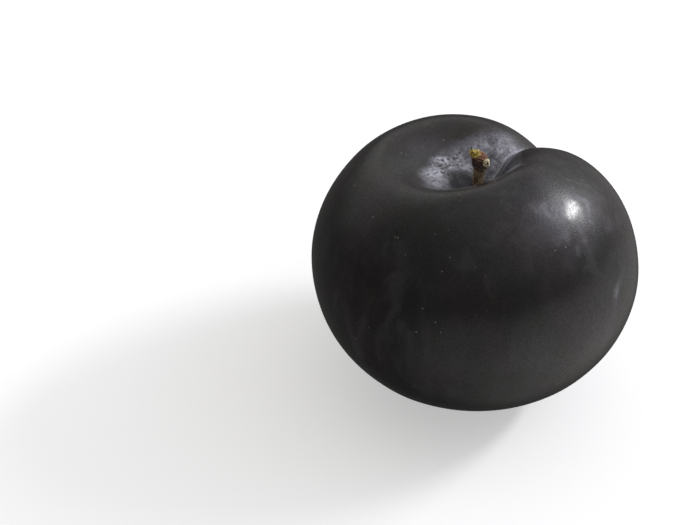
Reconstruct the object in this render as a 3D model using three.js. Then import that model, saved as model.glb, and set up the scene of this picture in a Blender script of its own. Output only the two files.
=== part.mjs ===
// A ripe black plum, standing on its blossom end, with the stub of its stem in the stem cavity.
// Millimetres, +Z up. The origin is on the small flat spot that the fruit rests on, straight under
// the stem. The suture, the fold that runs from the cavity down one side, faces +X.

import * as THREE from "three";

// Body of the fruit: how far the skin is from the core, before anything is pressed into it
const MEAN_RADIUS = 30.8;
const CROWN_LIFT = 3.4; // more at the stem end, less at the blossom end
const END_FLATTENING = 1.64; // less at both ends, more round the waist
const CHEEK_SWELL = 0.85; // wider across the suture than along it
const THREE_SIDED_SWELL = 0.28;
const CHEEK_TILT = 0.88; // the cheek on -Y stands higher than the one on +Y

// Stem cavity: a broad hollow, a funnel in it, and a steep pit down to the foot of the stem
const CAVITY_DEPTH = 8.7;
const CAVITY_RADIUS = 11.4;
const CAVITY_STRETCH = 1.08; // longer along the suture
const CAVITY_SHIFT = 4.8; // its middle lies towards +Y of the stem
const CAVITY_STEEPNESS = 4.4;
const CAVITY_ONSET = -0.1; // cosine of the polar angle where the hollow may start
const CAVITY_ONSET_SPAN = 0.5;
const FUNNEL_DEPTH = 3.0;
const FUNNEL_RADIUS = 6.2;
const PIT_DEPTH = 4.5; // a steeper pit round the foot of the stem
const PIT_RADIUS = 8;

// Suture: deepest at the shoulder, and fading out before the blossom end
const SUTURE_SHOULDER_DEPTH = 4.8;
const SUTURE_SHOULDER_POLAR = 0.54; // radians from the stem
const SUTURE_SHOULDER_SPREAD = 0.52;
const SUTURE_SIDE_DEPTH = 1.6;
const SUTURE_END_POLAR = 2.75;
const SUTURE_FADE = 1.2;
const SUTURE_HALF_WIDTH = 6.8;
const CREASE_RADIUS = 0.6;
const SUTURE_START_X = -2; // it grows from nothing between here and the end of its onset
const SUTURE_ONSET = 10;

// How it stands: at this height of the core, a spot about 13 mm across is pressed flat
const CORE_HEIGHT = 24.76;
const FLAT_BLEND = 0.4;

// Stem: a thin shaft from the floor of the cavity, with a knobbly head at its broken end.
// Its own frame has +X on the side of the bud scar, and heights above the cavity's floor.
const STEM_HEIGHT = 13.8;
const SHAFT_RADIUS = 1.05;
const STEM_ROOT_DEPTH = 2.6;
const STEM_ROOT_RADIUS = 1.3;
const STEM_ROOT_TOP = 1.6;
const HEAD_RADIUS = 1.5;
const HEAD_START = 9.7;
const HEAD_GROWTH = 1.3; // the height in which the shaft widens to the head
const STEM_LEAN = 0.5; // how far the broken end is off the axis
const END_SLANT = 0.5; // how steeply the broken end falls towards the bud scar
const SLANT_START = 10.9;
const STEM_RIDGES = 5;
const RIDGE_DEPTH = 0.05; // as a share of the radius
const RIDGE_TWIST = 0.25; // radians for each millimetre of height
const END_ROUNDING = 0.55; // sine of the polar angle where the ends start to round off
const STEM_AZIMUTH = THREE.MathUtils.degToRad(-50); // the way the bud scar faces

// What is pushed out of the head, or into it: where, which way and how far, and its radius
const STEM_LUMPS = [
  { name: "end knob", at: [-0.9, -0.1, 13.8], push: [-1.15, -0.1, 0.65], radius: 1.1 },
  { name: "bud scar", at: [1.5, -0.7, 11.8], push: [0.75, -0.35, 0.2], radius: 0.95 },
  { name: "bud hole", at: [2.3, -1.0, 12.0], push: [-0.5, 0.2, 0], radius: 0.45 },
  { name: "collar", at: [0.9, -1.0, 10.4], push: [0.3, -0.3, -0.1], radius: 0.7 },
];

// The socket that the stem's root sits in
const SOCKET_GAP = 0.35;

const skin = new THREE.MeshStandardMaterial({ color: 0x1d1a1c, roughness: 0.38, metalness: 0 });
const bark = new THREE.MeshStandardMaterial({ color: 0x5a4218, roughness: 0.85, metalness: 0 });

const smooth = (x) => THREE.MathUtils.smoothstep(x, 0, 1);
const bell = (x) => Math.exp(-(x ** 2));

// A closed surface of rings round the Z axis. The first and last rows are one point each.
function closedSurface(lastRow, segments, pointAt, azimuthAt) {
  const positions = [...pointAt(0, 0)];
  for (let row = 1; row < lastRow; row++)
    for (let j = 0; j < segments; j++) positions.push(...pointAt(row, azimuthAt(j / segments)));
  positions.push(...pointAt(lastRow, 0));

  const at = (row, j) => 1 + (row - 1) * segments + (j % segments);
  const lastPoint = at(lastRow, 0);
  const index = [];
  for (let j = 0; j < segments; j++) {
    index.push(0, at(1, j), at(1, j + 1));
    for (let row = 1; row < lastRow - 1; row++) {
      index.push(at(row, j), at(row + 1, j), at(row + 1, j + 1));
      index.push(at(row, j), at(row + 1, j + 1), at(row, j + 1));
    }
    index.push(at(lastRow - 1, j), lastPoint, at(lastRow - 1, j + 1));
  }
  const geometry = new THREE.BufferGeometry();
  geometry.setAttribute("position", new THREE.Float32BufferAttribute(positions, 3));
  geometry.setIndex(index);
  geometry.computeVertexNormals();
  return geometry;
}

function bodyRadius(polar, azimuth) {
  const up = Math.cos(polar);
  const out = Math.sin(polar);
  return (
    MEAN_RADIUS +
    CROWN_LIFT * up -
    END_FLATTENING * Math.cos(2 * polar) -
    CHEEK_SWELL * out ** 2 * Math.cos(2 * azimuth) -
    THREE_SIDED_SWELL * out ** 3 * Math.cos(3 * azimuth) -
    CHEEK_TILT * out * up * Math.sin(azimuth)
  );
}

function cavityDepth(polar, x, y) {
  const across = Math.hypot(x / CAVITY_STRETCH, y - CAVITY_SHIFT) / CAVITY_RADIUS;
  const onTop = smooth((Math.cos(polar) - CAVITY_ONSET) / CAVITY_ONSET_SPAN);
  const hollow = CAVITY_DEPTH * Math.exp(-(across ** CAVITY_STEEPNESS));
  const funnel = FUNNEL_DEPTH * bell((MEAN_RADIUS * polar) / FUNNEL_RADIUS);
  const inPit = Math.max(0, 1 - ((MEAN_RADIUS * polar) / PIT_RADIUS) ** 2);
  return onTop * hollow + funnel + PIT_DEPTH * inPit ** 2;
}

function sutureDepth(polar, x, y) {
  const shoulder = bell((polar - SUTURE_SHOULDER_POLAR) / SUTURE_SHOULDER_SPREAD);
  const side = smooth((SUTURE_END_POLAR - polar) / SUTURE_FADE);
  const depth = SUTURE_SHOULDER_DEPTH * shoulder + SUTURE_SIDE_DEPTH * side;
  const fromCrease = Math.hypot(y, CREASE_RADIUS) - CREASE_RADIUS;
  const onThisSide = smooth((x - SUTURE_START_X) / SUTURE_ONSET);
  return onThisSide * depth * Math.exp(-fromCrease / SUTURE_HALF_WIDTH);
}

// Leaves heights above the surface alone, and lays the lowest part of the skin flat on it.
function restedHeight(height) {
  if (height > FLAT_BLEND) return height;
  if (height < -FLAT_BLEND) return 0;
  return (height + FLAT_BLEND) ** 2 / (4 * FLAT_BLEND);
}

function skinPoint(polar, azimuth) {
  const x = MEAN_RADIUS * Math.sin(polar) * Math.cos(azimuth);
  const y = MEAN_RADIUS * Math.sin(polar) * Math.sin(azimuth);
  const radius = bodyRadius(polar, azimuth) - cavityDepth(polar, x, y) - sutureDepth(polar, x, y);
  const out = radius * Math.sin(polar);
  const height = restedHeight(CORE_HEIGHT + radius * Math.cos(polar));
  return [out * Math.cos(azimuth), out * Math.sin(azimuth), height];
}

const floorHeight = skinPoint(0, 0)[2];

function makeFruit() {
  const lastRow = 50;
  const segments = 72;
  const socketRadius = STEM_ROOT_RADIUS + SOCKET_GAP;
  const socketFloor = floorHeight - STEM_ROOT_DEPTH - SOCKET_GAP;
  const mouthPolar = socketRadius / (floorHeight - CORE_HEIGHT);

  // Rows crowd together in the cavity, and segments at the suture, where the skin turns sharply.
  const polarAt = (row) => {
    const share = (row - 2) / (lastRow - 2);
    const crowded = share - 0.1 * Math.sin(2 * Math.PI * share) * (1 - share);
    return mouthPolar + (Math.PI - mouthPolar) * crowded;
  };
  const azimuthAt = (share) => 2 * Math.PI * share - 0.5 * Math.sin(2 * Math.PI * share);

  const pointAt = (row, azimuth) => {
    if (row === 0) return [0, 0, socketFloor];
    if (row === 1)
      return [socketRadius * Math.cos(azimuth), socketRadius * Math.sin(azimuth), socketFloor];
    return skinPoint(polarAt(row), azimuth);
  };
  return closedSurface(lastRow, segments, pointAt, azimuthAt);
}

function pushed(point, lump) {
  const away = new THREE.Vector3(...lump.at).distanceTo(point);
  return point.addScaledVector(new THREE.Vector3(...lump.push), bell(away / lump.radius));
}

function stemRadius(height, azimuth) {
  const rootShare = smooth((STEM_ROOT_TOP - height) / (2 * STEM_ROOT_TOP));
  const headShare = smooth((height - HEAD_START) / HEAD_GROWTH);
  const base =
    SHAFT_RADIUS +
    (STEM_ROOT_RADIUS - SHAFT_RADIUS) * rootShare +
    (HEAD_RADIUS - SHAFT_RADIUS) * headShare;
  const wave = Math.cos(STEM_RIDGES * azimuth + RIDGE_TWIST * height);
  return base * (1 + RIDGE_DEPTH * (1 - rootShare) * wave);
}

function makeStem() {
  const lastRow = 30;
  const segments = 24;
  const length = STEM_ROOT_DEPTH + STEM_HEIGHT;
  const pointAt = (row, azimuth) => {
    const polar = (Math.PI * row) / lastRow;
    const height = STEM_HEIGHT - (length * (1 - Math.cos(polar))) / 2;
    const rounding = Math.min(1, Math.sin(polar) / END_ROUNDING) ** 0.8;
    const across = rounding * stemRadius(height, azimuth);
    const x = across * Math.cos(azimuth);
    const slant = END_SLANT * x * smooth((height - SLANT_START) / (STEM_HEIGHT - SLANT_START));
    const lean = STEM_LEAN * smooth(height / STEM_HEIGHT);
    const point = new THREE.Vector3(x + lean, across * Math.sin(azimuth), height - slant);
    return STEM_LUMPS.reduce(pushed, point).toArray();
  };
  const geometry = closedSurface(lastRow, segments, pointAt, (share) => 2 * Math.PI * share);
  geometry.rotateZ(STEM_AZIMUTH);
  return geometry;
}

const fruit = new THREE.Mesh(makeFruit(), skin);
fruit.name = "fruit";

const stem = new THREE.Mesh(makeStem(), bark);
stem.name = "stem";
stem.position.z = floorHeight;

const plum = new THREE.Group();
plum.add(fruit, stem);

export default plum;
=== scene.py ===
"""A ripe black plum with its bloom, its stem cavity and its corky stem, in a plain pale studio.

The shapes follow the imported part: the same formulas in millimetres, with fine relief on top.
The lengths of the plum and the camera are in millimetres, and those of the studio in metres.
"""

import math

import bpy
import numpy as np
from mathutils import Matrix, Vector, noise


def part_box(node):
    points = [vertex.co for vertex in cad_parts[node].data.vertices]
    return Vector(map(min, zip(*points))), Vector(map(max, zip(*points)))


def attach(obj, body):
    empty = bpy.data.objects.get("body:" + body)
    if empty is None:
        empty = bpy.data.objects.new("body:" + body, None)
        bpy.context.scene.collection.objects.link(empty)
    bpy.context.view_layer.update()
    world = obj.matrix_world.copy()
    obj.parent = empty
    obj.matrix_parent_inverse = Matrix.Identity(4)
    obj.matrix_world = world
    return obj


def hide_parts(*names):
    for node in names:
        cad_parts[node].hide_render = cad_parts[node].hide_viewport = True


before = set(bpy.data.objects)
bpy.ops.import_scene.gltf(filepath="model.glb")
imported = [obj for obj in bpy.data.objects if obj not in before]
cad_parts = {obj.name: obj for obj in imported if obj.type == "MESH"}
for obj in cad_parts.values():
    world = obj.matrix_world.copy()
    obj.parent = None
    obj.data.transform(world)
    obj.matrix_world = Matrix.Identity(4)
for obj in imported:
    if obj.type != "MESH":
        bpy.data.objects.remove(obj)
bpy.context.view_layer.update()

MM = 0.001

# The shapes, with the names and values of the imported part

# Body of the fruit
MEAN_RADIUS = 30.8
CROWN_LIFT = 3.4
END_FLATTENING = 1.64
CHEEK_SWELL = 0.85
THREE_SIDED_SWELL = 0.28
CHEEK_TILT = 0.88

# Stem cavity
CAVITY_DEPTH = 8.7
CAVITY_RADIUS = 11.4
CAVITY_STRETCH = 1.08
CAVITY_SHIFT = 4.8
CAVITY_STEEPNESS = 4.4
CAVITY_ONSET = -0.1
CAVITY_ONSET_SPAN = 0.5
FUNNEL_DEPTH = 3.0
FUNNEL_RADIUS = 6.2
PIT_DEPTH = 4.5
PIT_RADIUS = 8

# Suture
SUTURE_SHOULDER_DEPTH = 4.8
SUTURE_SHOULDER_POLAR = 0.54
SUTURE_SHOULDER_SPREAD = 0.52
SUTURE_SIDE_DEPTH = 1.6
SUTURE_END_POLAR = 2.75
SUTURE_FADE = 1.2
SUTURE_HALF_WIDTH = 6.8
CREASE_RADIUS = 0.6
SUTURE_START_X = -2
SUTURE_ONSET = 10

# How it stands
CORE_HEIGHT = 24.76
FLAT_BLEND = 0.4

# Stem
STEM_HEIGHT = 13.8
SHAFT_RADIUS = 1.05
STEM_ROOT_DEPTH = 2.6
STEM_ROOT_RADIUS = 1.3
STEM_ROOT_TOP = 1.6
HEAD_RADIUS = 1.5
HEAD_START = 9.7
HEAD_GROWTH = 1.3
STEM_LEAN = 0.5
END_SLANT = 0.5
SLANT_START = 10.9
STEM_RIDGES = 5
RIDGE_DEPTH = 0.05
RIDGE_TWIST = 0.25
END_ROUNDING = 0.55
STEM_AZIMUTH = math.radians(-50)

# What is pushed out of the head of the stem, or into it
END_KNOB = {"at": (-0.9, -0.1, 13.8), "push": (-1.15, -0.1, 0.65), "radius": 1.1}
BUD_SCAR = {"at": (1.5, -0.7, 11.8), "push": (0.75, -0.35, 0.2), "radius": 0.95}
BUD_HOLE = {"at": (2.3, -1.0, 12.0), "push": (-0.5, 0.2, 0), "radius": 0.45}
COLLAR = {"at": (0.9, -1.0, 10.4), "push": (0.3, -0.3, -0.1), "radius": 0.7}

# Where handling has changed the bloom, and where marks of bloom paint the sheen of the key light:
# both ends
# # of each mark and its half width. A positive amount leaves bloom there, and a negative one takes it
# off.
RUB_AND_SHEEN_MARKS = [
    # round the key light's highlight: bloom that paints its bluish halo and the bright band beside it
    # as painted highlight, with wipes through them
    {"from": (-4, -19.5, 52), "to": (1, -22, 50.5), "width": 3.4, "amount": 0.4},
    {"from": (-4.2, -17.8, 52.9), "to": (-2.3, -20.3, 51.6), "width": 1.4, "amount": 0.9},
    {"from": (6.2, -16.6, 52.5), "to": (10, -19.4, 50), "width": 0.6, "amount": 0.35},
    {"from": (10, -19.4, 50), "to": (11.5, -22.6, 47.1), "width": 0.6, "amount": 0.3},
    {"from": (4.1, -20.2, 51.3), "to": (5.4, -21.5, 50.1), "width": 0.8, "amount": 1},
    {"from": (5.4, -21.7, 50), "to": (2.9, -24.2, 48.5), "width": 0.8, "amount": 0.8},
    {"from": (2.8, -22.3, 50), "to": (1.2, -23.8, 49), "width": 0.6, "amount": -0.6},
    {"from": (-0.4, -24, 48.9), "to": (-1.2, -25.9, 47), "width": 0.8, "amount": 0.4},
    {"from": (-2, -23.8, 49), "to": (-3.1, -24.9, 47.8), "width": 0.6, "amount": -0.7},
    {"from": (-4.2, -23.5, 48.9), "to": (-5.9, -23.3, 48.7), "width": 1.8, "amount": 0.45},
    {"from": (-3.5, -25.8, 46.8), "to": (-4, -26.5, 45.9), "width": 0.7, "amount": 0.35},
    {"from": (-9.3, -18.9, 51), "to": (-7.6, -19.5, 51.1), "width": 0.7, "amount": 0.25},
    # down the right cheek: streaks and a scuff rubbed in the bloom
    {"from": (5.7, -31.3, 37.7), "to": (1.9, -32.4, 35.9), "width": 1.2, "amount": 0.35},
    {"from": (1.9, -32.4, 35.9), "to": (-2.2, -33.2, 25.5), "width": 1.6, "amount": 0.3},
    {"from": (-4.6, -31.3, 38), "to": (-3.4, -32.4, 34.5), "width": 0.5, "amount": -1},
    # on the cavity's left wall: painted sheen where the key light falls
    {"from": (0.5, 10.1, 47.7), "to": (2.2, 9.2, 47.3), "width": 1, "amount": 0.9},
    {"from": (-2, 8, 47.5), "to": (-7.5, 3.8, 49), "width": 1.2, "amount": 0.9},
    # on the cavity's far wall: painted glints and sheen
    {"from": (7.5, 8, 48.5), "to": (13.5, 3.4, 48.5), "width": 2.2, "amount": 0.5},
    {"from": (10.2, 5.2, 48.5), "to": (10.6, 4.2, 48.2), "width": 0.7, "amount": 0.9},
    {"from": (10.8, 2.4, 48), "to": (11, 1.6, 47.8), "width": 0.5, "amount": 0.8},
    {"from": (13.2, 2.2, 47.8), "to": (14.6, 1, 47.3), "width": 0.5, "amount": 0.7},
]

# The thick bloom in the cavity: an oval, seen from above
BLOOM_MIDDLE = (6.3, -0.7)
BLOOM_HALF_LENGTH = 16
BLOOM_HALF_WIDTH = 8.9
BLOOM_TURN = -0.54  # radians from +X, the way the oval stretches
SPECKLED_MIDDLE = (1.5, 8, 49)  # the bloom has more dark pits round here
SPECKLED_RADIUS = 4.5

# The pit round the foot of the stem, darkened with painted shade, and without the wax coat
PIT_SHADE_MIDDLE = (0.3, 1.6)
PIT_SHADE_RADIUS = 5.9
PIT_SHADE_EDGE = 2.7

# The inner cheek, the slope beyond the crease that faces the stem. It is dull as far as its rim.
INNER_CHEEK_Y = -0.8
INNER_CHEEK_X = 1
DULL_RIM_Y = -9
DULL_END_X = 16

# The crease: its pale line, and the shade beside it
CREASE_START_X = 2
CREASE_LINE_WIDTH = 0.35
CREASE_SHADE_Y = -0.95
CREASE_SHADE_WIDTH = 0.5
CREASE_FADE_HEIGHT = 36  # the line is faint below this height

# Meshes
SKIN_CELLS = 128  # along each edge of the cube that the skin's mesh starts from
SKIN_CROWDING = 0.45  # how much finer the mesh gets in the cavity
STEM_ROWS = 260
STEM_SEGMENTS = 150

# The skin's own relief
DENT_DEPTH = 0.16
DENT_SIZE = 11.0
WRINKLE_DEPTH = 0.3
WRINKLE_REACH = 7.5

# The stem's own relief, and what its marks are measured from
BARK_DEPTH = 0.09
GRAIN_DEPTH = 0.05
CRACK_DEPTH = 0.16
RAY_DEPTH = 0.3
STEM_CORE_X = 0.3
KNOB_MIDDLE = (-0.75, -0.25, STEM_HEIGHT + 0.25)
KNOB_RADIUS = 1.3
SCAR_MIDDLE = (1.9, -1.5, STEM_HEIGHT - 1.75)
SCAR_RADIUS = 1.0
SCAR_HOLE_RADIUS = 0.4

# The camera stands where the photograph's stood
IMAGE_SIZE = (700, 525)
PLUM_PIXEL = (471.0, 270.9)  # where the middle of the fruit is in the picture
LENS = 85
SENSOR = 36
CAMERA_DISTANCE = 337
CAMERA_AZIMUTH = -50.54  # degrees
CAMERA_ELEVATION = 40.13


def direction(azimuth, elevation):
    """The unit vector towards a viewer or light, from degrees. Azimuth 0 is on the -Y side."""
    azimuth, elevation = math.radians(azimuth), math.radians(elevation)
    flat = math.cos(elevation)
    return Vector((math.sin(azimuth) * flat, -math.cos(azimuth) * flat, math.sin(elevation)))


# The studio
FLOOR_RADIUS = 2.5
FLOOR_GLOW = 0.45
KEY_SIDE = direction(60, 31.5)
KEY_TILT = math.radians(-60)  # how far the long side of the strip light leans from upright
KEY_DISTANCE = 0.9
KEY_WIDTH = 0.10
KEY_LENGTH = 0.34
KEY_POWER = 3.1

# Soft light round the strip: its strength, and half its width and length in radians
GLOW_SIDE = direction(57, 38)
GLOW_TILT = math.radians(-50)
GLOWS = [
    {"strength": 2.1, "width": 0.14, "length": 0.36},
    {"strength": 0.32, "width": 0.36, "length": 0.7},
]
GLOW_TINT = (0.95, 0.95, 1.08, 1)
REST_TINT = (1, 0.985, 0.95, 1)

# Light from above the horizon: its levels on the dark side and on the bright one
HIGH_SIDE = direction(95, 45)
HIGH_LEVELS = (0.17, 0.55)

# Light from below the horizon, as from a pale floor. Each light starts at one cosine of the angle
# from its middle, and is full at the other.
LOW_REST = 0.07  # from all round
LOW_LIGHTS = [
    {"side": direction(-20, -25), "starts": 0.2, "full": 0.75, "level": 0.29},
    {"side": direction(20, -30), "starts": 0.4, "full": 0.98, "level": 0.34},
    {"side": direction(84, -14), "starts": 0.85, "full": 0.99, "level": 0.13},
]

# Light from behind the plum, for the far edge of its crown
FAR_SIDE = direction(172, 14)
FAR_LEVEL = 0.24


def smooth(x):
    c = np.clip(x, 0, 1)
    return c * c * (3 - 2 * c)


def bell(x):
    return np.exp(-(x**2))


def field(points, size, seed=0):
    """Smooth noise from -1 to 1 at each point, with features of about that size."""
    offset = Vector((seed * 17.3, seed * 5.9, seed * 11.1))
    return np.array([noise.noise(Vector(p) / size + offset) for p in points])


# Shapes

def body_radius(polar, azimuth):
    up, out = np.cos(polar), np.sin(polar)
    return (
        MEAN_RADIUS
        + CROWN_LIFT * up
        - END_FLATTENING * np.cos(2 * polar)
        - CHEEK_SWELL * out**2 * np.cos(2 * azimuth)
        - THREE_SIDED_SWELL * out**3 * np.cos(3 * azimuth)
        - CHEEK_TILT * out * up * np.sin(azimuth)
    )


def cavity_share(polar, x, y):
    """1 in the middle of the stem cavity and 0 outside it."""
    across = np.hypot(x / CAVITY_STRETCH, y - CAVITY_SHIFT) / CAVITY_RADIUS
    on_top = smooth((np.cos(polar) - CAVITY_ONSET) / CAVITY_ONSET_SPAN)
    return on_top * np.exp(-(across**CAVITY_STEEPNESS))


def suture_depth(polar, x, y):
    shoulder = bell((polar - SUTURE_SHOULDER_POLAR) / SUTURE_SHOULDER_SPREAD)
    side = smooth((SUTURE_END_POLAR - polar) / SUTURE_FADE)
    depth = SUTURE_SHOULDER_DEPTH * shoulder + SUTURE_SIDE_DEPTH * side
    from_crease = np.hypot(y, CREASE_RADIUS) - CREASE_RADIUS
    on_this_side = smooth((x - SUTURE_START_X) / SUTURE_ONSET)
    return on_this_side * depth * np.exp(-from_crease / SUTURE_HALF_WIDTH)


def rested_height(height):
    blended = (height + FLAT_BLEND) ** 2 / (4 * FLAT_BLEND)
    return np.where(height > FLAT_BLEND, height, np.where(height < -FLAT_BLEND, 0, blended))


def rays_round_stem(x, y, count, seed):
    """Smooth noise that runs out from the stem in rays, more of them for a higher count."""
    out = np.hypot(x, y)
    turn = np.stack([count * x / (out + 0.4), count * y / (out + 0.4), 0.22 * out], axis=-1)
    return field(turn, 1, seed)


def skin_relief(unit, polar, x, y):
    """Broad dents all over, and fine wrinkles that run down into the cavity round the stem."""
    dents = DENT_DEPTH * field(unit * MEAN_RADIUS, DENT_SIZE, seed=3)
    ridges = 1 - 2 * np.abs(rays_round_stem(x, y, 3.2, seed=5))
    near_stem = smooth((WRINKLE_REACH - np.hypot(x, y)) / WRINKLE_REACH)
    on_top = smooth(np.cos(polar) * 4)
    return dents + WRINKLE_DEPTH * near_stem * on_top * ridges


def cube_sphere(cells):
    """Unit directions spread evenly over a sphere, and the quads between them."""
    steps = np.arange(cells)
    quads = []
    for axis in range(3):
        for side in (0, cells):
            a, b = np.meshgrid(steps, steps, indexing="ij")
            corners = [(a, b), (a + 1, b), (a + 1, b + 1), (a, b + 1)]
            if side == 0:
                corners.reverse()
            face = []
            for p, q in corners:
                lattice = [None, None, None]
                lattice[axis] = np.full_like(p, side)
                lattice[(axis + 1) % 3] = p
                lattice[(axis + 2) % 3] = q
                face.append(np.stack(lattice, axis=-1).reshape(-1, 3))
            quads.append(np.stack(face, axis=1))
    quads = np.concatenate(quads)
    points, index = np.unique(quads.reshape(-1, 3), axis=0, return_inverse=True)
    spread = np.tan((points / cells - 0.5) * math.pi / 2)
    return spread / np.linalg.norm(spread, axis=1, keepdims=True), index.reshape(-1, 4)


def new_piece(name, points, faces, marks):
    """A smooth-shaded mesh object from points in millimetres, with a named value at each point."""
    mesh = bpy.data.meshes.new(name)
    mesh.from_pydata((points * MM).tolist(), [], faces)
    for mark, values in marks.items():
        attribute = mesh.attributes.new(mark, "FLOAT", "POINT")
        attribute.data.foreach_set("value", values.astype(np.float32))
    mesh.shade_smooth()
    mesh.validate()
    piece = bpy.data.objects.new(name, mesh)
    bpy.context.scene.collection.objects.link(piece)
    return piece


def inner_cheek(x, y):
    """1 on the slope beyond the crease, and 0 on the stem's side of it."""
    return smooth((INNER_CHEEK_Y - y) / 2) * smooth((x - INNER_CHEEK_X) / 3)


def cavity_bloom(points):
    """1 where the bloom lies thick, in the stem cavity and along the start of the crease."""
    x, y, z = points.T
    dx, dy = x - BLOOM_MIDDLE[0], y - BLOOM_MIDDLE[1]
    along = dx * math.cos(BLOOM_TURN) + dy * math.sin(BLOOM_TURN)
    across = dy * math.cos(BLOOM_TURN) - dx * math.sin(BLOOM_TURN)
    reach = np.hypot(along / BLOOM_HALF_LENGTH, across / BLOOM_HALF_WIDTH)
    reach = reach + 0.07 * field(points, 3, seed=8)
    softness = 0.16 + 0.4 * smooth((x - 1) / 6)
    in_oval = smooth((1 - reach) / softness + 0.5) * (z > CORE_HEIGHT)
    # Less bloom on the inner cheek, which faces away from the key light: partly its own thinner
    # bloom, partly painted shade
    return in_oval * (1 - 0.97 * inner_cheek(x, y))


def rubbed_and_sheen(points):
    """Above 0 where handling has laid bloom and where marks paint the key light's sheen, and below 0
    where handling has taken bloom off.
    """
    wobble = 0.5 * field(points, 2.5, seed=6)
    total = np.zeros(len(points))
    for mark in RUB_AND_SHEEN_MARKS:
        start = np.array(mark["from"])
        line = np.array(mark["to"]) - start
        along = np.clip((points - start) @ line / (line @ line), 0, 1)
        away = np.linalg.norm(points - start - along[:, None] * line, axis=1)
        total += mark["amount"] * bell(away / mark["width"] + wobble)
    return np.clip(total, -1, 1)


def skin_marks(points, along_crease):
    """What the skin's material needs to know at each point: from 0 to 1, and the last two from -1."""
    x, y, z = points.T
    upper_half = z > CORE_HEIGHT
    wander = 0.25 * field(points, 4, seed=14)
    upper = 0.2 + 0.8 * smooth((z - CREASE_FADE_HEIGHT) / 10)
    line = bell((y + wander) / CREASE_LINE_WIDTH)
    shade = bell((y + wander - CREASE_SHADE_Y) / CREASE_SHADE_WIDTH)
    # the mask of the painted shade in the pit round the foot of the stem; it also takes off the wax
    # coat
    from_pit_shade = np.hypot(x - PIT_SHADE_MIDDLE[0], y - PIT_SHADE_MIDDLE[1]) + 0.7 * field(points, 2, seed=15)
    inside_rim = smooth((y - DULL_RIM_Y) / 3) * smooth((DULL_END_X - x) / 6)
    from_speckled = np.linalg.norm(points - np.array(SPECKLED_MIDDLE), axis=1)
    return {
        "crease": upper * along_crease * line,
        "crease_shade": along_crease * shade * upper_half,
        "near_stem": smooth((PIT_SHADE_RADIUS - from_pit_shade) / PIT_SHADE_EDGE) * upper_half,
        "dull": inner_cheek(x, y) * inside_rim,
        "cavity_bloom": cavity_bloom(points),
        "speckled": bell(from_speckled / SPECKLED_RADIUS),
        # rubs in the bloom, and painted sheen round the highlight and in the cavity
        "rubbed_and_sheen": rubbed_and_sheen(points),
        "rays": rays_round_stem(x, y, 5, seed=9),
    }


def make_skin():
    unit, quads = cube_sphere(SKIN_CELLS)
    polar = np.arccos(np.clip(unit[:, 2], -1, 1))
    azimuth = np.arctan2(unit[:, 1], unit[:, 0])
    polar = polar - SKIN_CROWDING * np.sin(polar) * (1 + np.cos(polar)) / 2
    x = MEAN_RADIUS * np.sin(polar) * np.cos(azimuth)
    y = MEAN_RADIUS * np.sin(polar) * np.sin(azimuth)
    unit = np.stack([x, y, MEAN_RADIUS * np.cos(polar)], axis=-1) / MEAN_RADIUS

    hollow = cavity_share(polar, x, y)
    funnel = FUNNEL_DEPTH * bell(MEAN_RADIUS * polar / FUNNEL_RADIUS)
    pit = PIT_DEPTH * np.maximum(0, 1 - (MEAN_RADIUS * polar / PIT_RADIUS) ** 2) ** 2
    pressed_in = CAVITY_DEPTH * hollow + funnel + pit + suture_depth(polar, x, y)
    radius = body_radius(polar, azimuth) - pressed_in + skin_relief(unit, polar, x, y)
    points = unit * radius[:, None]
    points[:, 2] = rested_height(CORE_HEIGHT + points[:, 2])

    marks = skin_marks(points, smooth((x - CREASE_START_X) / 3))
    return new_piece("fruit_skin", points, quads.tolist(), marks)


def pushed(points, lump):
    away = np.linalg.norm(points - np.array(lump["at"]), axis=1)
    return points + bell(away / lump["radius"])[:, None] * np.array(lump["push"])


def cracks(points, size, seed):
    """0 in the middle of each corky cell, rising to 1 in the cracks between them."""
    offset = Vector((seed, 2 * seed, 3 * seed))
    gaps = []
    for point in points:
        distances = noise.voronoi(Vector(point) / size + offset)[0]
        gaps.append(distances[1] - distances[0])
    return smooth(1 - np.array(gaps) / 0.28)


def broken_end_rays(offsets):
    """1 in the dark cracks that spread from the middle of the broken end, and 0 on its wood."""
    axis = Vector((-0.3, -0.6, 0.75)).normalized()
    across = axis.cross(Vector((0, 0, 1))).normalized()
    along = axis.cross(across)
    u, v = offsets @ np.array(across), offsets @ np.array(along)
    turn, out = np.arctan2(v, u), np.hypot(u, v)
    wander = field(offsets, 0.5, seed=12)
    ray = bell((1 - np.abs(np.cos(3.5 * turn + 1.6 * wander))) / 0.16)
    return ray * smooth((out - 0.12) / 0.15) * smooth((1.0 - out) / 0.25)


def stem_surface(row, azimuth):
    """Points of the smooth stem, in its own frame, at rows from 0, the broken end, to 1."""
    polar = math.pi * row
    length = STEM_ROOT_DEPTH + STEM_HEIGHT
    height = STEM_HEIGHT - length * (1 - np.cos(polar)) / 2
    root_share = smooth((STEM_ROOT_TOP - height) / (2 * STEM_ROOT_TOP))
    head_share = smooth((height - HEAD_START) / HEAD_GROWTH)
    radius = (
        SHAFT_RADIUS
        + (STEM_ROOT_RADIUS - SHAFT_RADIUS) * root_share
        + (HEAD_RADIUS - SHAFT_RADIUS) * head_share
    )
    wave = np.cos(STEM_RIDGES * azimuth + RIDGE_TWIST * height)
    across = radius * (1 + RIDGE_DEPTH * (1 - root_share) * wave)
    across = across * np.minimum(1, np.sin(polar) / END_ROUNDING) ** 0.8
    x = across * np.cos(azimuth)
    slant = END_SLANT * x * smooth((height - SLANT_START) / (STEM_HEIGHT - SLANT_START))
    lean = STEM_LEAN * smooth(height / STEM_HEIGHT)
    points = np.stack([x + lean, across * np.sin(azimuth), height - slant], axis=-1)
    for lump in (END_KNOB, BUD_SCAR, BUD_HOLE, COLLAR):
        points = pushed(points, lump)
    return points


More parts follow.
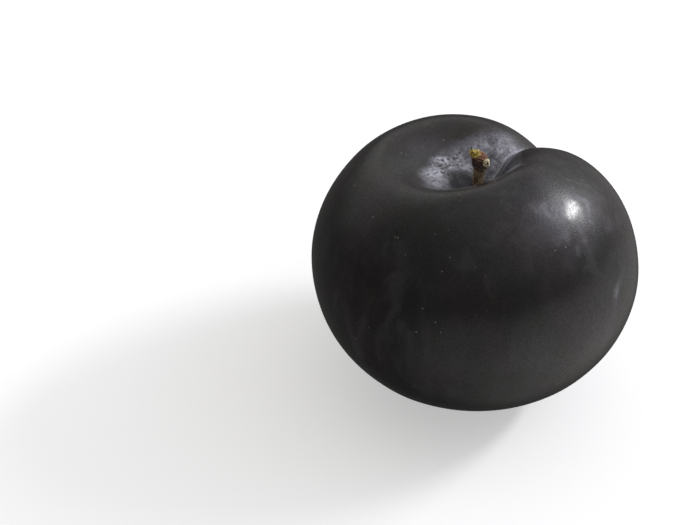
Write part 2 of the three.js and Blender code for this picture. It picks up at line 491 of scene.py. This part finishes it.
def ring_grid(rows, segments):
    """Row shares and azimuths of a closed surface of rings, and its faces."""
    row = np.repeat(np.arange(1, rows), segments) / rows
    azimuth = np.tile(np.arange(segments), rows - 1) * 2 * math.pi / segments
    row = np.concatenate([[0], row, [1]])
    azimuth = np.concatenate([[0], azimuth, [0]])
    last = len(row) - 1
    faces = []
    for j in range(segments):
        k = (j + 1) % segments
        faces.append([0, 1 + j, 1 + k])
        for i in range(rows - 2):
            a, b = 1 + i * segments + j, 1 + i * segments + k
            faces.append([a, a + segments, b + segments, b])
        end = 1 + (rows - 2) * segments
        faces.append([end + j, last, end + k])
    return row, azimuth, faces


def make_stem(foot):
    """The stem, with the floor of the cavity at the height foot."""
    row, azimuth, faces = ring_grid(STEM_ROWS, STEM_SEGMENTS)
    points = stem_surface(row, azimuth)
    core = np.zeros_like(points)  # the nearest point on a line inside the stem
    core[:, 0] = STEM_CORE_X
    core[:, 2] = np.clip(points[:, 2], -2, STEM_HEIGHT - 1.3)
    outward = points - core
    outward /= np.linalg.norm(outward, axis=1, keepdims=True) + 1e-9

    from_knob = points - np.array(KNOB_MIDDLE)
    from_scar = np.linalg.norm(points - np.array(SCAR_MIDDLE), axis=1)
    marks = {
        "head": smooth((points[:, 2] - HEAD_START) / HEAD_GROWTH),
        "knob": bell(np.linalg.norm(from_knob, axis=1) / KNOB_RADIUS),
        "scar": bell(from_scar / SCAR_RADIUS),
        "hole": bell(from_scar / SCAR_HOLE_RADIUS),
        "cork": cracks(points, 0.62, seed=4),
        "rays": broken_end_rays(from_knob),
    }

    bark = field(points * np.array([3.2, 3.2, 0.9]), 1, seed=9)
    grain = field(points, 0.22, seed=2)
    relief = BARK_DEPTH * bark + GRAIN_DEPTH * grain
    relief = relief - CRACK_DEPTH * marks["cork"] * marks["head"]
    relief = relief - RAY_DEPTH * marks["rays"] * smooth(marks["knob"] * 2)
    relief = relief * smooth((points[:, 2] + 1.5) / 2)
    points = points + outward * relief[:, None]

    cos, sin = math.cos(STEM_AZIMUTH), math.sin(STEM_AZIMUTH)
    turn = np.array([[cos, sin, 0], [-sin, cos, 0], [0, 0, 1]])
    points = points @ turn + np.array([0, 0, foot])
    return new_piece("stem_bark", points, faces, marks)


# Materials

class Nodes:
    """Adds nodes to one tree, so that a material reads like a formula."""

    def __init__(self, tree):
        self.tree = tree
        self.tree.nodes.clear()

    def add(self, kind, inputs=(), **settings):
        node = self.tree.nodes.new(kind)
        for name, value in settings.items():
            setattr(node, name, value)
        for name, value in dict(inputs).items():
            self.put(node.inputs[name], value)
        return node

    def put(self, socket, value):
        if isinstance(value, bpy.types.NodeSocket):
            self.tree.links.new(value, socket)
        else:
            socket.default_value = value

    def principled(self, inputs):
        """Makes a Principled shader with those inputs the surface."""
        shader = self.add("ShaderNodeBsdfPrincipled", inputs)
        self.add("ShaderNodeOutputMaterial", {"Surface": shader.outputs["BSDF"]})

    def math(self, operation, a, b=0.0, clamp=False):
        node = self.add("ShaderNodeMath", {0: a, 1: b}, operation=operation, use_clamp=clamp)
        return node.outputs[0]

    def times(self, a, b):
        return self.math("MULTIPLY", a, b)

    def plus(self, a, b, clamp=False):
        return self.math("ADD", a, b, clamp)

    def ramp(self, value, low, high, start=0.0, end=1.0):
        """value from low to high becomes start to end, smoothly, and stays within them."""
        inputs = {"Value": value, "From Min": low, "From Max": high, "To Min": start, "To Max": end}
        node = self.add("ShaderNodeMapRange", inputs, interpolation_type="SMOOTHSTEP")
        return node.outputs["Result"]

    def mix(self, factor, a, b):
        node = self.add("ShaderNodeMix", data_type="RGBA")
        for name, value in (("Factor", factor), ("A", a), ("B", b)):
            sockets = [s for s in node.inputs if s.name == name and s.enabled]
            self.put(sockets[0], value)
        return [s for s in node.outputs if s.enabled][0]

    def mark(self, name):
        """The value that the mesh has under that name."""
        return self.add("ShaderNodeAttribute", attribute_name=name).outputs["Fac"]

    def place(self, stretch=(1, 1, 1), shift=(0, 0, 0)):
        """The point's place on the object, in millimetres, with each axis stretched."""
        source = self.add("ShaderNodeTexCoord").outputs["Object"]
        inputs = {"Vector": source, "Scale": [s / MM for s in stretch], "Location": shift}
        return self.add("ShaderNodeMapping", inputs).outputs[0]

    def noise(self, place, size, detail=3.0, roughness=0.5, distortion=0.0):
        inputs = {
            "Vector": place,
            "Scale": 1 / size,
            "Detail": detail,
            "Roughness": roughness,
            "Distortion": distortion,
        }
        return self.add("ShaderNodeTexNoise", inputs).outputs["Fac"]

    def dots(self, place, spacing, radius, share):
        """1 in round dots of that radius, which only a share of the cells have."""
        cell = self.add("ShaderNodeTexVoronoi", {"Vector": place, "Scale": 1 / spacing})
        dot = self.ramp(cell.outputs["Distance"], 1.2 * radius / spacing, 0.6 * radius / spacing)
        luck = self.add("ShaderNodeSeparateColor", {"Color": cell.outputs["Color"]}).outputs[0]
        return self.times(dot, self.math("LESS_THAN", luck, share))


def new_material(name):
    material = bpy.data.materials.new(name)
    material.use_nodes = True
    return material, Nodes(material.node_tree)


def rgb(red, green, blue):
    return (red, green, blue, 1)


# Colours of the skin
SKIN_PURPLE = rgb(0.013, 0.008, 0.010)
SKIN_BLACK = rgb(0.010, 0.010, 0.010)
SKIN_BROWN = rgb(0.020, 0.010, 0.008)
BLOOM_GREY = rgb(0.50, 0.50, 0.58)
# painted shade: the colour that darkens the pit round the foot of the stem
PAINTED_PIT_SHADE = rgb(0.008, 0.007, 0.009)
LENTICEL_TAN = rgb(0.30, 0.25, 0.21)
VEIL_SHARE = 0.042  # how much of its colour the thin bloom gives the skin

# Colours of the stem: the darkest and the lightest of each part, or the only one
SHAFT_BROWNS = (rgb(0.16, 0.11, 0.065), rgb(0.52, 0.38, 0.22))
DUSK_BROWNS = (rgb(0.045, 0.028, 0.030), rgb(0.19, 0.12, 0.115))
RUSTS = (rgb(0.08, 0.024, 0.010), rgb(0.55, 0.26, 0.15))
MUSTARDS = (rgb(0.42, 0.29, 0.035), rgb(0.95, 0.76, 0.22))
COLLAR_TAN = rgb(0.42, 0.31, 0.19)
SCAR_CREAM = rgb(1.0, 0.88, 0.58)
SCAR_HOLE = rgb(0.08, 0.04, 0.016)
RAY_BROWN = rgb(0.05, 0.028, 0.008)
CRACK_BROWN = rgb(0.03, 0.016, 0.006)


def skin_bloom(n, place, deep, patches, grains):
    """How much bloom lies on the skin with the painted sheen of the marks, the thin veil alone, and
    the dark pits in the bloom.
    """
    # A thin veil everywhere, wiped in streaks
    streaks = n.noise(n.place(stretch=(1, 1, 0.28)), 3.2, detail=5, roughness=0.55, distortion=0.6)
    clouds = n.noise(n.place(shift=(2, 9, 4)), 10, detail=3)
    veil = n.times(n.ramp(streaks, 0.42, 0.72, 0.15, 1), n.ramp(clouds, 0.35, 0.7, 0.2, 1))
    # The marks add bloom, with painted sheen round the highlight and in the cavity, and wipes take it
    # off
    rub_and_sheen = n.mark("rubbed_and_sheen")
    veil = n.plus(n.times(veil, n.ramp(rub_and_sheen, -0.6, 0)), n.ramp(rub_and_sheen, 0, 1))

    # The wisps of the marks: bloom from handling, and painted sheen, which is made stronger in the
    # cavity
    wisps = n.noise(n.place(stretch=(1, 1, 0.5)), 1.3, detail=4, roughness=0.6, distortion=0.8)
    wisp_bloom_and_sheen = n.times(n.ramp(rub_and_sheen, 0.05, 1), n.ramp(wisps, 0.32, 0.68, 0.03, 0.27))
    wisp_bloom_and_sheen = n.times(wisp_bloom_and_sheen, n.ramp(deep, 0, 1, 1, 2.5))
    thin = n.plus(n.times(veil, VEIL_SHARE), wisp_bloom_and_sheen)

    # Thick bloom in the cavity, and a line of it along the crease
    layers = n.plus(n.ramp(patches, 0.3, 0.7, 0.23, 0.68), n.ramp(grains, 0.4, 0.7, -0.12, 0.2))
    thick = n.times(deep, layers)
    line = n.times(n.mark("crease"), n.ramp(patches, 0.3, 0.7, 0.4, 0.7))
    bloom = n.plus(n.plus(thin, thick), line, clamp=True)

    # Less of it beside that line, and in rays and dark pits round the stem
    bloom = n.times(bloom, n.ramp(n.mark("crease_shade"), 0, 1, 1, 0.2))
    least = n.ramp(deep, 0, 1, 1, 0.7)
    most = n.ramp(deep, 0, 1, 1, 1.2)
    bloom = n.times(bloom, n.ramp(n.mark("rays"), -0.4, 0.4, least, most))
    crumbs = n.noise(place, 0.62, detail=2, roughness=0.6, distortion=0.3)
    crowded = n.plus(n.times(n.mark("speckled"), 0.13), n.ramp(patches, 0.35, 0.65, 0.27, 0.36))
    pits = n.times(deep, n.ramp(n.math("SUBTRACT", crumbs, crowded), 0.05, 0))
    return n.times(bloom, n.ramp(pits, 0, 1, 1, 0.1)), veil, pits


def skin_material():
    material, n = new_material("plum_skin")
    place = n.place()
    deep = n.mark("cavity_bloom")
    near_stem = n.mark("near_stem")
    grains = n.noise(place, 0.55, detail=4, roughness=0.65)
    patches = n.noise(place, 2.4, detail=4, roughness=0.6)

    # The dark skin, and the bloom on it
    tint = n.noise(place, 13, detail=2)
    colour = n.mix(n.ramp(tint, 0.38, 0.62), SKIN_PURPLE, SKIN_BLACK)
    warm = n.noise(n.place(shift=(7, 3, 1)), 8, detail=3)
    colour = n.mix(n.ramp(warm, 0.55, 0.75, 0, 0.6), colour, SKIN_BROWN)
    bloom, veil, pits = skin_bloom(n, place, deep, patches, grains)
    colour = n.mix(bloom, colour, BLOOM_GREY)
    # Painted shade: the pit round the foot of the stem is darkened almost to black
    pit_shade = n.times(near_stem, n.ramp(patches, 0.35, 0.7, 1, 0.94))
    colour = n.mix(pit_shade, colour, PAINTED_PIT_SHADE)

    # Lenticels: sparse pale dots
    crowd = n.ramp(n.noise(n.place(shift=(5, 1, 8)), 17, detail=1), 0.45, 0.6)
    lenticels = n.times(n.dots(place, spacing=1.6, radius=0.2, share=0.5), crowd)
    colour = n.mix(n.times(lenticels, 0.45), colour, LENTICEL_TAN)

    # Matt where the bloom is, and bumpier in the cavity
    roughness = n.plus(n.ramp(veil, 0, 0.8, 0.34, 0.5), n.times(n.plus(bloom, near_stem), 0.2))
    grit = n.noise(place, 0.32, detail=2)
    lumps = n.times(patches, n.ramp(deep, 0, 1, 0.5, 3.5))
    height = n.plus(n.times(grains, n.ramp(deep, 0, 1, 0.5, 2)), n.times(pits, -1.2))
    height = n.plus(n.plus(height, lumps), grit)
    bump = n.add("ShaderNodeBump", {"Height": height, "Strength": 0.6, "Distance": 0.06 * MM})

    # The skin's natural wax is the coat. It is worn off near the stem and on the inner cheek.
    wax = n.times(n.ramp(near_stem, 0, 0.8, 1, 0), n.ramp(n.mark("dull"), 0, 1, 1, 0.1))
    wax = n.times(wax, n.ramp(grains, 0.36, 0.56, 0.5, 1))
    n.principled({
        "Base Color": colour,
        "Roughness": roughness,
        "Normal": bump.outputs["Normal"],
        "IOR": 1.42,
        "Coat Weight": n.times(n.ramp(bloom, 0.05, 0.6, 0.8, 0.5), wax),
        "Coat Roughness": 0.16,
        "Coat IOR": 1.38,
    })
    return material


def stem_material(stem_top):
    """Bark for a stem whose broken end is at that height, in millimetres."""
    material, n = new_material("stem_bark")
    place = n.place()
    height = n.add("ShaderNodeSeparateXYZ", {"Vector": place}).outputs["Z"]
    below_top = n.math("SUBTRACT", stem_top, height)
    knob = n.mark("knob")
    fibres = n.noise(n.place(stretch=(1, 1, 0.2)), 0.3, detail=4, roughness=0.6)
    flecks = n.noise(place, 0.3, detail=4, roughness=0.65)

    # The shaft, and a darker head that turns rusty towards its top
    colour = n.mix(n.ramp(fibres, 0.35, 0.65), *SHAFT_BROWNS)
    dusk = n.mix(n.ramp(flecks, 0.35, 0.65), *DUSK_BROWNS)
    rust = n.mix(n.ramp(flecks, 0.35, 0.65), *RUSTS)
    head = n.mix(n.ramp(below_top, 2.2, 1.3), dusk, rust)
    colour = n.mix(n.times(n.mark("head"), n.ramp(fibres, 0.3, 0.5, 0.6, 0.95)), colour, head)

    # Pale threads in a collar under the head
    threads = n.noise(n.place(stretch=(1, 1, 0.4)), 0.28, detail=2)
    collar = n.times(n.ramp(below_top, 4.6, 4.2), n.ramp(below_top, 3.2, 3.6))
    collar = n.times(collar, n.ramp(threads, 0.5, 0.6))
    colour = n.mix(n.times(collar, 0.8), colour, COLLAR_TAN)

    # The broken end with its rays, the bud scar, and the cracks in the cork
    mustard = n.mix(n.ramp(flecks, 0.3, 0.7), *MUSTARDS)
    colour = n.mix(n.ramp(knob, 0.3, 0.55), colour, mustard)
    colour = n.mix(n.times(n.mark("rays"), n.ramp(knob, 0.3, 0.6)), colour, RAY_BROWN)
    colour = n.mix(n.ramp(n.mark("scar"), 0.26, 0.46), colour, SCAR_CREAM)
    colour = n.mix(n.ramp(n.mark("hole"), 0.45, 0.75), colour, SCAR_HOLE)
    groove = n.times(n.mark("cork"), n.ramp(knob, 0.1, 0.5, 0.5, 0.1))
    colour = n.mix(groove, colour, CRACK_BROWN)

    bump = n.add("ShaderNodeBump", {"Height": flecks, "Strength": 0.5, "Distance": 0.08 * MM})
    n.principled({
        "Base Color": colour,
        "Roughness": n.ramp(flecks, 0.3, 0.7, 0.55, 0.85),
        "Normal": bump.outputs["Normal"],
        "IOR": 1.45,
    })
    return material


def floor_material():
    material, n = new_material("pale_floor")
    n.principled({
        "Base Color": rgb(0.9, 0.9, 0.9),
        "Roughness": 0.9,
        "Specular IOR Level": 0.1,
        "Emission Color": rgb(1, 1, 1),
        "Emission Strength": FLOOR_GLOW,
    })
    return material


# Studio

def make_sheet(name, profile, filled=False):
    """A surface round the plum, from radius and height pairs. Filled closes it in the middle."""
    segments = 72
    points = []
    faces = []
    for radius, height in profile:
        for j in range(segments):
            turn = 2 * math.pi * j / segments
            points.append((radius * math.cos(turn), radius * math.sin(turn), height))
    for i in range(len(profile) - 1):
        for j in range(segments):
            a, b = i * segments + j, i * segments + (j + 1) % segments
            faces.append((a, a + segments, b + segments, b))
    if filled:
        faces.append(tuple(range(segments)))
    mesh = bpy.data.meshes.new(name)
    mesh.from_pydata(points, [], faces)
    mesh.shade_smooth()
    sheet = bpy.data.objects.new(name, mesh)
    bpy.context.scene.collection.objects.link(sheet)
    return sheet


def make_floor():
    """A pale floor, and far behind it a backdrop that only the camera sees, so no horizon shows."""
    material = floor_material()
    floor = make_sheet("floor", [(0.3, 0), (1, 0), (FLOOR_RADIUS, 0)], filled=True)
    floor.data.materials.append(material)
    floor.visible_glossy = False  # the surroundings give what the skin reflects from below
    bend = [math.pi / 2 * step / 12 for step in range(13)]
    rise = [(FLOOR_RADIUS + math.sin(turn), 1 - math.cos(turn)) for turn in bend]
    backdrop = make_sheet("backdrop", rise + [(FLOOR_RADIUS + 1, 4)])
    backdrop.data.materials.append(material)
    backdrop.visible_diffuse = False
    backdrop.visible_glossy = False
    backdrop.visible_shadow = False


def make_camera():
    back = direction(CAMERA_AZIMUTH, CAMERA_ELEVATION)
    azimuth = math.radians(CAMERA_AZIMUTH)
    right = Vector((math.cos(azimuth), math.sin(azimuth), 0))
    up = back.cross(right)
    focal_pixels = LENS / SENSOR * IMAGE_SIZE[0]
    scale = CAMERA_DISTANCE / focal_pixels
    aside = (PLUM_PIXEL[0] - IMAGE_SIZE[0] / 2) * scale
    below = (PLUM_PIXEL[1] - IMAGE_SIZE[1] / 2) * scale
    core = Vector((0, 0, CORE_HEIGHT))
    data = bpy.data.cameras.new("camera")
    data.lens = LENS
    data.sensor_width = SENSOR
    data.clip_start = 0.01
    camera = bpy.data.objects.new("camera", data)
    camera.location = (core + back * CAMERA_DISTANCE - right * aside + up * below) * MM
    camera.rotation_euler = back.to_track_quat("Z", "Y").to_euler()
    bpy.context.scene.collection.objects.link(camera)
    bpy.context.scene.camera = camera


def light_axes(side, tilt):
    """Unit vectors across and along a light that leans by that tilt, seen from the plum."""
    level = Vector((0, 0, 1)).cross(side).normalized()
    upright = side.cross(level)
    along = upright * math.cos(tilt) + level * math.sin(tilt)
    return along.cross(side), along


def make_key_light():
    """The strip light whose reflection is the bright spot on the cheek."""
    across, along = light_axes(KEY_SIDE, KEY_TILT)
    data = bpy.data.lights.new("key", "AREA")
    data.shape = "ELLIPSE"
    data.size = KEY_WIDTH
    data.size_y = KEY_LENGTH
    data.energy = KEY_POWER
    key = bpy.data.objects.new("key", data)
    key.location = KEY_SIDE * KEY_DISTANCE + Vector((0, 0, CORE_HEIGHT * MM))
    key.rotation_euler = Matrix((across, along, KEY_SIDE)).transposed().to_euler()
    key.visible_camera = False
    bpy.context.scene.collection.objects.link(key)


def make_world():
    """Soft light from all round, brighter towards the key light and dim behind the camera."""
    world = bpy.data.worlds.new("studio")
    bpy.context.scene.world = world
    world.use_nodes = True
    n = Nodes(world.node_tree)
    aim = n.add("ShaderNodeTexCoord").outputs["Generated"]

    def towards(side):
        """The cosine of the angle from that side."""
        node = n.add("ShaderNodeVectorMath", {0: aim, 1: side}, operation="DOT_PRODUCT")
        return node.outputs["Value"]

    height = n.add("ShaderNodeSeparateXYZ", {"Vector": aim}).outputs["Z"]  # 0 at the horizon
    above = n.ramp(height, -0.12, 0.5)
    high = n.times(n.ramp(towards(HIGH_SIDE), -0.1, 1, *HIGH_LEVELS), above)
    low = LOW_REST
    for light in LOW_LIGHTS:
        lit = n.ramp(towards(light["side"]), light["starts"], light["full"], 0, light["level"])
        low = n.plus(low, lit)
    below = n.times(n.ramp(height, 0.2, -0.1), n.ramp(height, -1, -0.6, 0.45, 1))
    low = n.times(low, below)
    far = n.times(n.ramp(towards(FAR_SIDE), 0.7, 0.98), n.ramp(height, -0.15, 0.2, 0, FAR_LEVEL))
    strength = n.plus(n.plus(high, low), far)
    across, along = light_axes(GLOW_SIDE, GLOW_TILT)
    facing = n.ramp(towards(GLOW_SIDE), 0, 0.3)
    for glow in GLOWS:
        u = n.math("DIVIDE", towards(across), glow["width"])
        v = n.math("DIVIDE", towards(along), glow["length"])
        away = n.plus(n.times(u, u), n.times(v, v))
        lit = n.math("EXPONENT", n.times(away, -1))
        strength = n.plus(strength, n.times(n.times(lit, facing), glow["strength"]))
    tint = n.mix(n.ramp(towards(GLOW_SIDE), 0.8, 0.95), REST_TINT, GLOW_TINT)
    light = n.add("ShaderNodeBackground", {"Color": tint, "Strength": strength})
    n.add("ShaderNodeOutputWorld", {"Surface": light.outputs["Background"]})


# The plum

skin = make_skin()
skin.data.materials.append(skin_material())
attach(skin, "root")
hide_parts("fruit")

stem_bottom, stem_top = (corner.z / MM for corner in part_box("stem"))
stem = make_stem(stem_bottom + STEM_ROOT_DEPTH)
stem.data.materials.append(stem_material(stem_top))
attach(stem, "root")
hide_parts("stem")

make_floor()
make_camera()
make_key_light()
make_world()
bpy.context.scene.view_settings.view_transform = "Standard"
